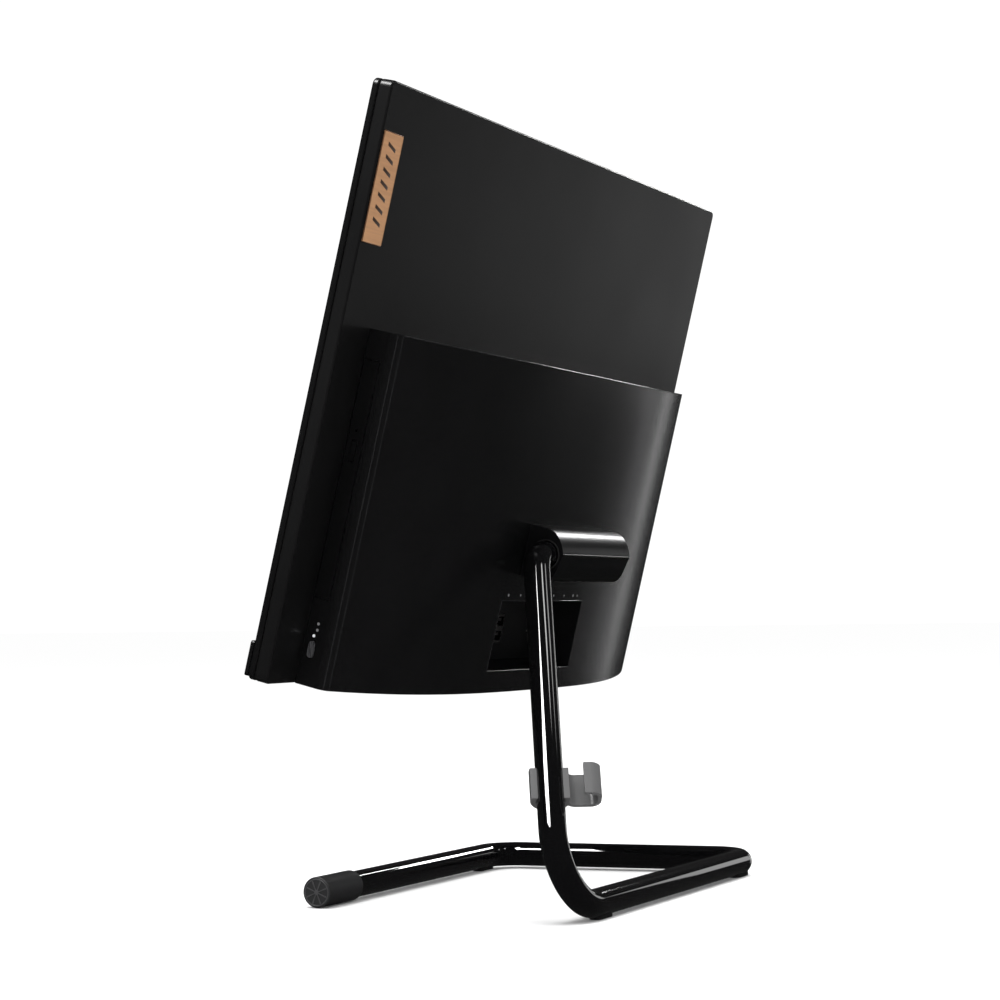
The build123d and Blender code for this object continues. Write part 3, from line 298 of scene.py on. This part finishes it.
def round_bead(name, centre, across, other, radius, thick, body, slot_name, sides=64):
    """A bead bent into a circle, with both radii in millimetres."""
    bead(name, circle(centre, across, other, radius * MM, sides), thick, body, slot_name, closed=True)


def rectangle_edge(low, high, n, shares):
    """Points along the four sides of a rectangle on the display, at shares of each side's length."""
    corners = [low, (high[0], low[1]), high, (low[0], high[1])]
    edge = []
    for (x0, u0), (x1, u1) in zip(corners, corners[1:] + corners[:1]):
        edge += [at(x0 + (x1 - x0) * share, u0 + (u1 - u0) * share, n) for share in shares]
    return edge


TOP_SHARE = 0.94  # how much of a raised shape's outline its top keeps


def raised(bm, outline, normal, height):
    """A flat shape raised from a surface, with a slightly smaller top."""
    centre = sum(outline, Vector()) / len(outline)
    low = [bm.verts.new(point) for point in outline]
    high = [bm.verts.new(centre + (point - centre) * TOP_SHARE + normal * height * MM) for point in outline]
    ring_faces(bm, [low, high])
    bm.faces.new(low)
    bm.faces.new(high)


WELD_GAP = 0.02
BEVEL_SEGMENTS = 3


def soften(node, width_mm, degrees=35):
    """Round a CAD node's crisp edges a little, so that they catch the light."""
    obj = frame["nodes"][node]
    weld = obj.modifiers.new("weld", "WELD")
    weld.merge_threshold = WELD_GAP * MM
    bevel = obj.modifiers.new("bevel", "BEVEL")
    bevel.width = width_mm * MM
    bevel.segments = BEVEL_SEGMENTS
    bevel.limit_method = "ANGLE"
    bevel.angle_limit = radians(degrees)
    bevel.use_clamp_overlap = True
    normals = obj.modifiers.new("normals", "WEIGHTED_NORMAL")
    normals.keep_sharp = False


# ---------------------------------------------------------------- the stand
TUBE_R = 7.75
SLEEVE_R = 8.9
SLEEVE_LENGTH = 40.6
SLEEVE_END = 2.5  # the sleeve's closed end
FRONT_CORNER_X = -130.5
BACK_CORNER_X = -141.6
HEEL_X = 168.9
ELBOW_X = 62.7
TUBE_TOP_END_X = 18.0
FOOT_DEPTH = 172.85  # between the middles of the front and back bars
BENDS = (21.0, 21.0, 30.0, 20.0)  # at the two far corners, the heel and the elbow
BEND_STEPS = 40
TUBE_SIDES = 64
low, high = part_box("tube_sleeve")
FREE_END = Vector((high[0], (low[1] + high[1]) / 2, (low[2] + high[2]) / 2))
BACK_Y = FREE_END.y + FOOT_DEPTH * MM
CORNERS = [
    FREE_END - RIGHT * SLEEVE_END * MM,
    Vector((FRONT_CORNER_X * MM, FREE_END.y, FREE_END.z)),
    Vector((BACK_CORNER_X * MM, BACK_Y, FREE_END.z)),
    Vector((HEEL_X * MM, BACK_Y, FREE_END.z)),
    Vector((ELBOW_X * MM, HINGE.y, HINGE.z)),
    Vector((TUBE_TOP_END_X * MM, HINGE.y, HINGE.z)),
]


def rounded_route(corners, bends):
    """Points along straight runs that are joined by arcs."""
    route = [corners[0]]
    for before, corner, after, radius in zip(corners, corners[1:], corners[2:], bends):
        towards = (before - corner).normalized()
        away = (after - corner).normalized()
        half = towards.angle(away) / 2
        reach = radius * MM / tan(half)
        inwards = (towards + away).normalized()
        centre = corner + inwards * (radius * MM / sin(half))
        start = corner + towards * reach - centre
        end = corner + away * reach - centre
        for k in range(BEND_STEPS + 1):
            route.append(centre + start.slerp(end, k / BEND_STEPS).normalized() * radius * MM)
    route.append(corners[-1])
    return route


def add_tube():
    bm = bmesh.new()
    swept(bm, rounded_route(CORNERS, BENDS), TUBE_R * MM, sides=TUBE_SIDES)
    tube = piece("bent_tube", bm, "stand", "tube_paint")
    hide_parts("stand_tube")


SPOKES = 8
SPOKE_R = (1.4, 6.9)
SPOKE_HALF_W = (0.18, 0.42)  # near the boss and near the rim
SPOKE_RISE = 0.35
BOSS = ((-0.1, 1.5), (0.3, 1.4), (0.45, 0.9), (0.5, 0.2))
BOSS_SIDES = 24
RIM_R, RIM_BEAD_R = 7.5, 0.28
LIP_INSET, LIP_BEAD_R = 0.5, 0.45


def add_sleeve_end():
    """Ribs like spokes, a rim and a boss on the sleeve's closed end, and a lip at its open one."""
    bm = bmesh.new()
    up, across = Vector((0, 0, 1)), Vector((0, 1, 0))
    (near, far), (thin, wide) = SPOKE_R, SPOKE_HALF_W
    for k in range(SPOKES):
        angle = 2 * pi * (k + 0.5) / SPOKES
        out = across * cos(angle) + up * sin(angle)
        beside = up * cos(angle) - across * sin(angle)
        corners = ((near, -thin), (far, -wide), (far, wide), (near, thin))
        outline = [FREE_END + (out * r + beside * w) * MM for r, w in corners]
        raised(bm, outline, RIGHT, SPOKE_RISE)
    turned(bm, FREE_END, RIGHT, across, BOSS, BOSS_SIDES)
    piece("sleeve_spokes", bm, "stand", "sleeve_rib")
    round_bead("sleeve_rim", FREE_END, across, up, RIM_R, RIM_BEAD_R, "stand", "sleeve_rib")
    open_end = FREE_END - RIGHT * SLEEVE_LENGTH * MM
    round_bead("sleeve_lip", open_end, across, up, SLEEVE_R - LIP_INSET, LIP_BEAD_R, "stand", "sleeve_rubber")


# ---------------------------------------------------------------- the lower rear cover's fine lines
COVER_HALF_W, COVER_TOP = 214.0, 193.7
COVER_CROWN, COVER_FALL = 43.3, 25.8
COVER_BEND = 3  # the power by which the crown falls away to the sides
BAY_X, BAY_U = (-54.0, 66.0), (13.0, 55.3)
TOP_LINE_HALF, TOP_LINE_INSET, TOP_LINE_R = 209.5, 0.25, 0.42
SIDE_LINES = ((210.1, 18.65, "outer"), (212.8, 16.75, "inner"))
SIDE_LINE_END, SIDE_LINE_R = 0.6, 0.34
BAY_RIM_SINK, BAY_RIM_R, BAY_RIM_CORNER = 0.1, 0.3, 1.0


def crown(x):
    """How far the cover stands out of the panel's back."""
    return COVER_CROWN - COVER_FALL * (abs(x) / COVER_HALF_W) ** COVER_BEND


def bay_rim():
    """Points round the port bay's mouth, on the crowned cover."""
    (left, right), (bottom, top) = BAY_X, BAY_U
    low, high = bottom + BAY_RIM_CORNER, top - BAY_RIM_CORNER
    places = [(x, bottom) for x in spaced(left, right, 30)]
    places += [(right, u) for u in spaced(low, high, 12)]
    places += [(x, top) for x in spaced(right, left, 30)]
    places += [(left, u) for u in spaced(high, low, 12)]
    return [at(x, u, crown(x) - BAY_RIM_SINK) for x, u in places]


def add_cover_lines():
    """Beads along the cover's top edge, its two sides and the rim of the port bay."""
    # the beads wear a lighter copy of the cover plastic, which is painted highlight along these edges
    top_xs = spaced(-TOP_LINE_HALF, TOP_LINE_HALF, 120)
    top = [at(x, COVER_TOP - TOP_LINE_INSET, crown(x) - TOP_LINE_INSET) for x in top_xs]
    bead("cover_top_line", top, TOP_LINE_R, "display", "cover_edge_highlight")
    for sign, side_name in ((1, "right"), (-1, "left")):
        for x, n, mark in SIDE_LINES:
            line = [at(sign * x, u, n) for u in spaced(SIDE_LINE_END, COVER_TOP - SIDE_LINE_END, 40)]
            bead(f"cover_{side_name}_{mark}_line", line, SIDE_LINE_R, "display", "cover_edge_highlight")
    bead("bay_rim", bay_rim(), BAY_RIM_R, "display", "cover_edge_highlight", closed=True)


ICON_U = 58.6
ICON_XS = (58.5, 42.0, 25.5, 9.5, -6.5, -22.7, -37.0, -43.7)
ICON_CORNERS = (24, 4, 3)  # a disc, a square and a triangle, in turn
ICON_R, ICON_RISE, ICON_SINK = 0.85, 0.08, 0.02
SIDE_ICON_US, SIDE_ICON_N, SIDE_ICON_R = (30.6, 34.0), 6.6, 0.8


def icon_outline(centre, radius, corners, across, up):
    """A small regular shape round a place."""
    turn = [2 * pi * (k + 0.5) / corners for k in range(corners)]
    return [centre + (across * cos(t) + up * sin(t)) * radius * MM for t in turn]


def add_icons():
    """Small plain marks over the ports, and two discs beside the power button."""
    bm = bmesh.new()
    for k, x in enumerate(ICON_XS):
        centre = at(x, ICON_U, crown(x) - ICON_SINK)
        corners = ICON_CORNERS[k % len(ICON_CORNERS)]
        raised(bm, icon_outline(centre, ICON_R, corners, RIGHT, RISE), BACK, ICON_RISE)
    piece("port_icons", bm, "display", "icon_ink")
    bm = bmesh.new()
    for u in SIDE_ICON_US:
        centre = at(COVER_HALF_W, u, SIDE_ICON_N)
        raised(bm, icon_outline(centre, SIDE_ICON_R, ICON_CORNERS[0], BACK, RISE), RIGHT, ICON_RISE)
    piece("side_icons", bm, "display", "icon_ink")


# ---------------------------------------------------------------- the badge and the hinge block
BADGE_LOW, BADGE_HIGH = (222.0, 237.0), (243.0, 295.5)
BADGE_TOP = 0.62
BADGE_SHARES = (0.02, 0.25, 0.5, 0.75, 0.98)
BADGE_EDGE_SINK, BADGE_EDGE_R = 0.25, 0.3
BARS = 7
BAR_X = (228.0, 237.0)
BAR_START, BAR_STEP = 9.0, 6.6
BAR_SLANT, BAR_WIDTH, BAR_RISE = 3.0, 2.0, 0.06


def add_badge():
    """A bead round the badge's edge and a plain ladder of slanted bars on its face."""
    bm = bmesh.new()
    left, right = BAR_X
    for k in range(BARS):
        low = BADGE_LOW[1] + BAR_START + k * BAR_STEP
        high = low + BAR_SLANT
        outline = [(left, low), (right, high), (right, high + BAR_WIDTH), (left, low + BAR_WIDTH)]
        raised(bm, [at(x, u, BADGE_TOP) for x, u in outline], BACK, BAR_RISE)
    piece("badge_bars", bm, "display", "badge_ink")
    edge = rectangle_edge(BADGE_LOW, BADGE_HIGH, BADGE_TOP - BADGE_EDGE_SINK, BADGE_SHARES)
    bead("badge_edge", edge, BADGE_EDGE_R, "display", "badge_dark", closed=True)


BLOCK_X = (-55.7, 48.7)
RIDGE_U, RIDGE_N, RIDGE_R = 88.5, 66.8, 0.32
GASKET_X, GASKET_R, GASKET_BEAD_R = 49.1, 8.5, 0.5
SCREW_AT = (49.0, 75.6, 59.2)
SCREW = ((-0.2, 1.5), (0.35, 1.45), (0.55, 1.1), (0.3, 0.8), (0.28, 0.2))
SCREW_SIDES = 24


def add_hinge_details():
    """A bead along the block's ridge, a gasket where the tube goes in and a screw in the end."""
    ridge = [at(x, RIDGE_U, RIDGE_N) for x in spaced(*BLOCK_X, 24)]
    bead("hinge_ridge", ridge, RIDGE_R, "display", "hinge_plastic")
    mouth = HINGE + RIGHT * GASKET_X * MM
    round_bead("tube_gasket", mouth, BACK, RISE, GASKET_R, GASKET_BEAD_R, "display", "pad_rubber")
    bm = bmesh.new()
    turned(bm, at(*SCREW_AT), RIGHT, BACK, SCREW, SCREW_SIDES)
    piece("end_screw", bm, "display", "steel")


# ---------------------------------------------------------------- the front
LENS_AT = (0, 317.1, -12.0)
LENS_RING_R, LENS_BEAD_R, LENS_SIDES = 2.0, 0.25, 48
PANEL_TOP = 321.7
TOP_BORDER, SCREEN_HEIGHT, SCREEN_HALF_W = 11.0, 268.6, 238.3
GASKET_INSET, GASKET_N, SCREEN_BEAD_R = 0.5, -10.75, 0.35


def add_front_details():
    """A ring round the camera and a gasket round the screen."""
    lens = at(*LENS_AT)
    radii = (LENS_RING_R, LENS_BEAD_R)
    round_bead("camera_ring", lens, RIGHT, RISE, *radii, "display", "bezel_plastic", LENS_SIDES)
    top = PANEL_TOP - TOP_BORDER
    low = (GASKET_INSET - SCREEN_HALF_W, top - SCREEN_HEIGHT + GASKET_INSET)
    high = (SCREEN_HALF_W - GASKET_INSET, top - GASKET_INSET)
    edge = rectangle_edge(low, high, GASKET_N, (0.0, 0.25, 0.5, 0.75))
    bead("screen_gasket", edge, SCREEN_BEAD_R, "display", "pad_rubber", closed=True)


SOFTENED = {
    "hinge_cover": 0.7,
    "cable_clip": 0.5,
    "badge_plate": 0.15,
    "power_button": 0.35,
    "tray_bezel": 0.2,
    "eject_button": 0.2,
    "speaker_bar": 0.15,
    "foot_pads": 0.5,
}
add_tube()
add_sleeve_end()
add_cover_lines()
add_icons()
add_badge()
add_hinge_details()
add_front_details()
for node, width in SOFTENED.items():
    soften(node, width)

# ---------------------------------------------------------------- camera, floor and light
CAMERA_AT = Vector((1.3956, 0.61527, 0.1664))
YAW, PITCH, ROLL = radians(245.48), radians(2.63), radians(-0.77)
LENS, SENSOR = 90.59, 36
FAR_CLIP = 100
FLOOR_HALF, FLOOR_Z = 30.0, -0.0003
MIDDLE = (0, 0, 0.2)  # where the cards and the lamp point
WORLD_LIGHT, WORLD_REFLECTED = 1.05, 0.02


def add_camera():
    ahead = Vector((sin(YAW) * cos(PITCH), cos(YAW) * cos(PITCH), sin(PITCH)))
    right = Vector((cos(YAW), -sin(YAW), 0))
    up = right.cross(ahead)
    rolled_right = right * cos(ROLL) + up * sin(ROLL)
    rolled_up = up * cos(ROLL) - right * sin(ROLL)
    data = bpy.data.cameras.new("camera")
    data.lens = LENS
    data.sensor_width = SENSOR
    data.clip_end = FAR_CLIP
    camera = bpy.data.objects.new("camera", data)
    turn = Matrix((rolled_right, rolled_up, -ahead)).transposed()
    camera.matrix_world = Matrix.Translation(CAMERA_AT) @ turn.to_4x4()
    bpy.context.scene.collection.objects.link(camera)
    bpy.context.scene.camera = camera


SQUARE = ((-1, -1), (1, -1), (1, 1), (-1, 1))


def add_floor():
    bm = bmesh.new()
    for x, y in SQUARE:
        bm.verts.new((x * FLOOR_HALF, y * FLOOR_HALF, FLOOR_Z))
    bm.faces.new(bm.verts)
    floor = mesh_object("floor", bm)
    mat, _ = material("floor", (0.94, 0.94, 0.94), 0.9, specular=0.0)
    floor.data.materials.append(mat)
    floor.visible_glossy = False


def facing(direction, distance):
    """Where a card or lamp stands and how it turns, at a distance in a direction from the middle."""
    outwards = Vector(direction).normalized()
    turn = outwards.to_track_quat("Z", "Y").to_matrix().to_4x4()
    return Matrix.Translation(Vector(MIDDLE) + outwards * distance) @ turn


def card(name, direction, distance, width, height, strength):
    """A glowing card that only reflections see, facing the object from a direction."""
    bm = bmesh.new()
    for x, y in SQUARE:
        bm.verts.new((x * width / 2, y * height / 2, 0))
    bm.faces.new(bm.verts)
    obj = mesh_object(name, bm)
    obj.matrix_world = facing(direction, distance)
    mat = bpy.data.materials.new(name)
    mat.use_nodes = True
    tree = mat.node_tree
    tree.nodes.clear()
    glow = tree.nodes.new("ShaderNodeEmission")
    glow.inputs["Strength"].default_value = strength
    out = tree.nodes.new("ShaderNodeOutputMaterial")
    tree.links.new(glow.outputs["Emission"], out.inputs["Surface"])
    obj.data.materials.append(mat)
    obj.visible_camera = False
    obj.visible_diffuse = False
    obj.visible_shadow = False


def bearing(azimuth, height):
    """A direction from two angles in degrees: round from +X, and above the floor."""
    around, above = radians(azimuth), radians(height)
    return cos(around) * cos(above), sin(around) * cos(above), sin(above)


def area_light(name, direction, distance, width, height, power):
    """A soft lamp that lights the object but is not seen in it."""
    data = bpy.data.lights.new(name, "AREA")
    data.shape = "RECTANGLE"
    data.size, data.size_y = width, height
    data.energy = power
    obj = bpy.data.objects.new(name, data)
    obj.matrix_world = facing(direction, distance)
    obj.visible_glossy = False
    obj.visible_camera = False
    bpy.context.scene.collection.objects.link(obj)


def background(tree, strength):
    """A plain white background of one strength."""
    node = tree.nodes.new("ShaderNodeBackground")
    node.inputs["Color"].default_value = (1, 1, 1, 1)
    node.inputs["Strength"].default_value = strength
    return node.outputs["Background"]


def add_world():
    """White all round, but nearly black in reflections, which the cards fill instead."""
    world = bpy.data.worlds.new("studio")
    bpy.context.scene.world = world
    world.use_nodes = True
    tree = world.node_tree
    tree.nodes.clear()
    path = tree.nodes.new("ShaderNodeLightPath")
    mix = tree.nodes.new("ShaderNodeMixShader")
    out = tree.nodes.new("ShaderNodeOutputWorld")
    tree.links.new(path.outputs["Is Glossy Ray"], mix.inputs["Fac"])
    tree.links.new(background(tree, WORLD_LIGHT), mix.inputs[1])
    tree.links.new(background(tree, WORLD_REFLECTED), mix.inputs[2])
    tree.links.new(mix.outputs["Shader"], out.inputs["Surface"])
    bpy.context.scene.view_settings.view_transform = "Standard"


add_camera()
add_floor()
add_world()
# each with its direction, distance, width, height and strength
area_light("top_soft", (0.25, 0.15, 1), 2.2, 2.5, 2.5, 75.0)
card("key_card", (0.56, -0.18, 0.80), 2.2, 0.85, 0.85, 30.0)
card("rear_card", (0.03, 0.62, 0.78), 2.2, 0.3, 0.3, 6.0)
card("left_card", (-0.43, 0.71, 0.55), 2.2, 0.3, 0.3, 2.5)
card("far_card", (-0.905, 0.11, 0.41), 2.6, 0.35, 0.4, 26.0)
card("panel_card", bearing(163, 4), 3.0, 0.5, 0.6, 0.85)
card("streak_card", bearing(176, -2), 3.0, 0.12, 0.9, 2.6)
card("thin_card", bearing(168, -3), 3.0, 0.06, 0.9, 1.4)
